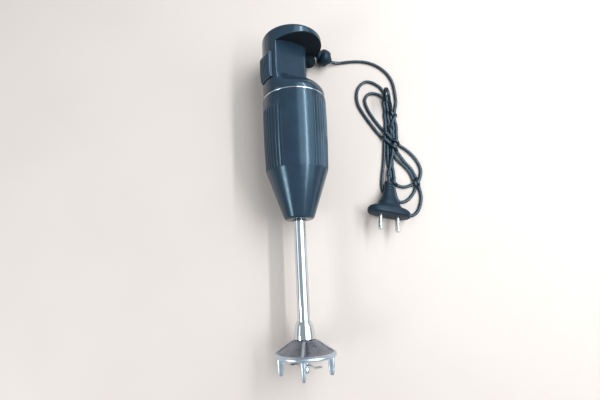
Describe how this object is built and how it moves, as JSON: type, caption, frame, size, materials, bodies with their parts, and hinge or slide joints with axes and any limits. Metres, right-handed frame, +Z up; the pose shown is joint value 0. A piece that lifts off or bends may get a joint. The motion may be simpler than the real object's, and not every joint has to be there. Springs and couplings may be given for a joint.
{
  "type": "immersion blender",
  "caption": "Stick blender with a notched handle, side trigger, fluted motor housing, steel shaft, bell guard with legs, and a folded mains cord with its plug.",
  "frame": {"origin": "on the table, under the middle of the blender's own box (cord, plug and strain relief left out)", "axes": "+Y along the shaft from the guard to the head, +Z up from the table the blender lies on, +X towards the folded cord"},
  "size_m": [0.1747, 0.3434, 0.0662],
  "materials": {
    "gloss_black": "glossy black ABS",
    "soft_black": "satin black PVC",
    "chrome": "polished chrome plate",
    "aluminium": "polished casting",
    "steel": "bright steel",
    "nickel": "nickel plate",
    "copper": "enamelled copper wire",
    "lamination": "stacked laminations",
    "carbon": "pressed carbon",
    "inner_plastic": "plain moulding",
    "bronze": "sintered bronze or brass"
  },
  "bodies": {
    "casing": {"handle_front": "gloss_black", "handle_back": "gloss_black", "handle_screw_1": "steel", "handle_screw_2": "steel", "handle_screw_3": "steel", "handle_screw_4": "steel", "trigger_pin": "steel", "trigger_spring": "steel", "microswitch": "soft_black", "terminal_block": "inner_plastic", "cord_clamp": "inner_plastic", "clamp_screw_1": "steel", "clamp_screw_2": "steel", "trim_ring": "chrome", "motor_housing": "gloss_black", "field_core": "lamination", "field_coil_front": "copper", "field_coil_back": "copper", "field_screw_1": "steel", "field_screw_2": "steel", "lower_bearing": "steel", "upper_bearing": "steel", "lower_bearing_bracket": "aluminium", "upper_bearing_bracket": "aluminium", "carbon_brush_left": "carbon", "carbon_brush_right": "carbon", "brush_spring_left": "steel", "brush_spring_right": "steel", "brush_holder_left": "bronze", "brush_holder_right": "bronze", "shaft_tube": "chrome", "tube_flange": "steel", "upper_bush": "bronze", "lower_bush": "bronze", "shaft_seal": "soft_black", "ferrule": "chrome", "blade_guard": "aluminium", "strain_relief": "soft_black", "power_cord": "soft_black", "cord_hank": "soft_black", "plug_body": "soft_black", "plug_pin_1": "nickel", "plug_pin_2": "nickel"},
    "rotor": {"armature_core": "lamination", "armature_winding_lower": "copper", "armature_winding_upper": "copper", "commutator": "copper", "motor_shaft": "steel", "cooling_fan": "inner_plastic", "drive_coupling": "steel", "drive_shaft": "steel", "blade": "steel", "blade_spacer": "steel", "blade_nut": "chrome"},
    "trigger": {"trigger": "gloss_black"},
    "plunger": {"switch_plunger": "inner_plastic"}
  },
  "joints": [
    {"name": "rotor_spin", "type": "hinge", "parent": "casing", "child": "rotor", "pos_m": [0.0008, 0, 0.0331], "axis": [0, 1, 0], "continuous": true},
    {"name": "trigger_press", "type": "hinge", "parent": "casing", "child": "trigger", "pos_m": [-0.02082, 0.1485, 0.04661], "axis": [0.5299, 0, 0.848], "range_deg": [0, 4.5], "stiffness_Nm_per_rad": 1, "springref_deg": -2.29},
    {"name": "plunger_slide", "type": "slide", "parent": "casing", "child": "plunger", "axis": [0.848, 0, -0.5299], "range_m": [0, 0.0016]}
  ],
  "couplings": [
    {"joint": "plunger_slide", "follows": "trigger_press", "m_per_rad": 0.0185}
  ]
}
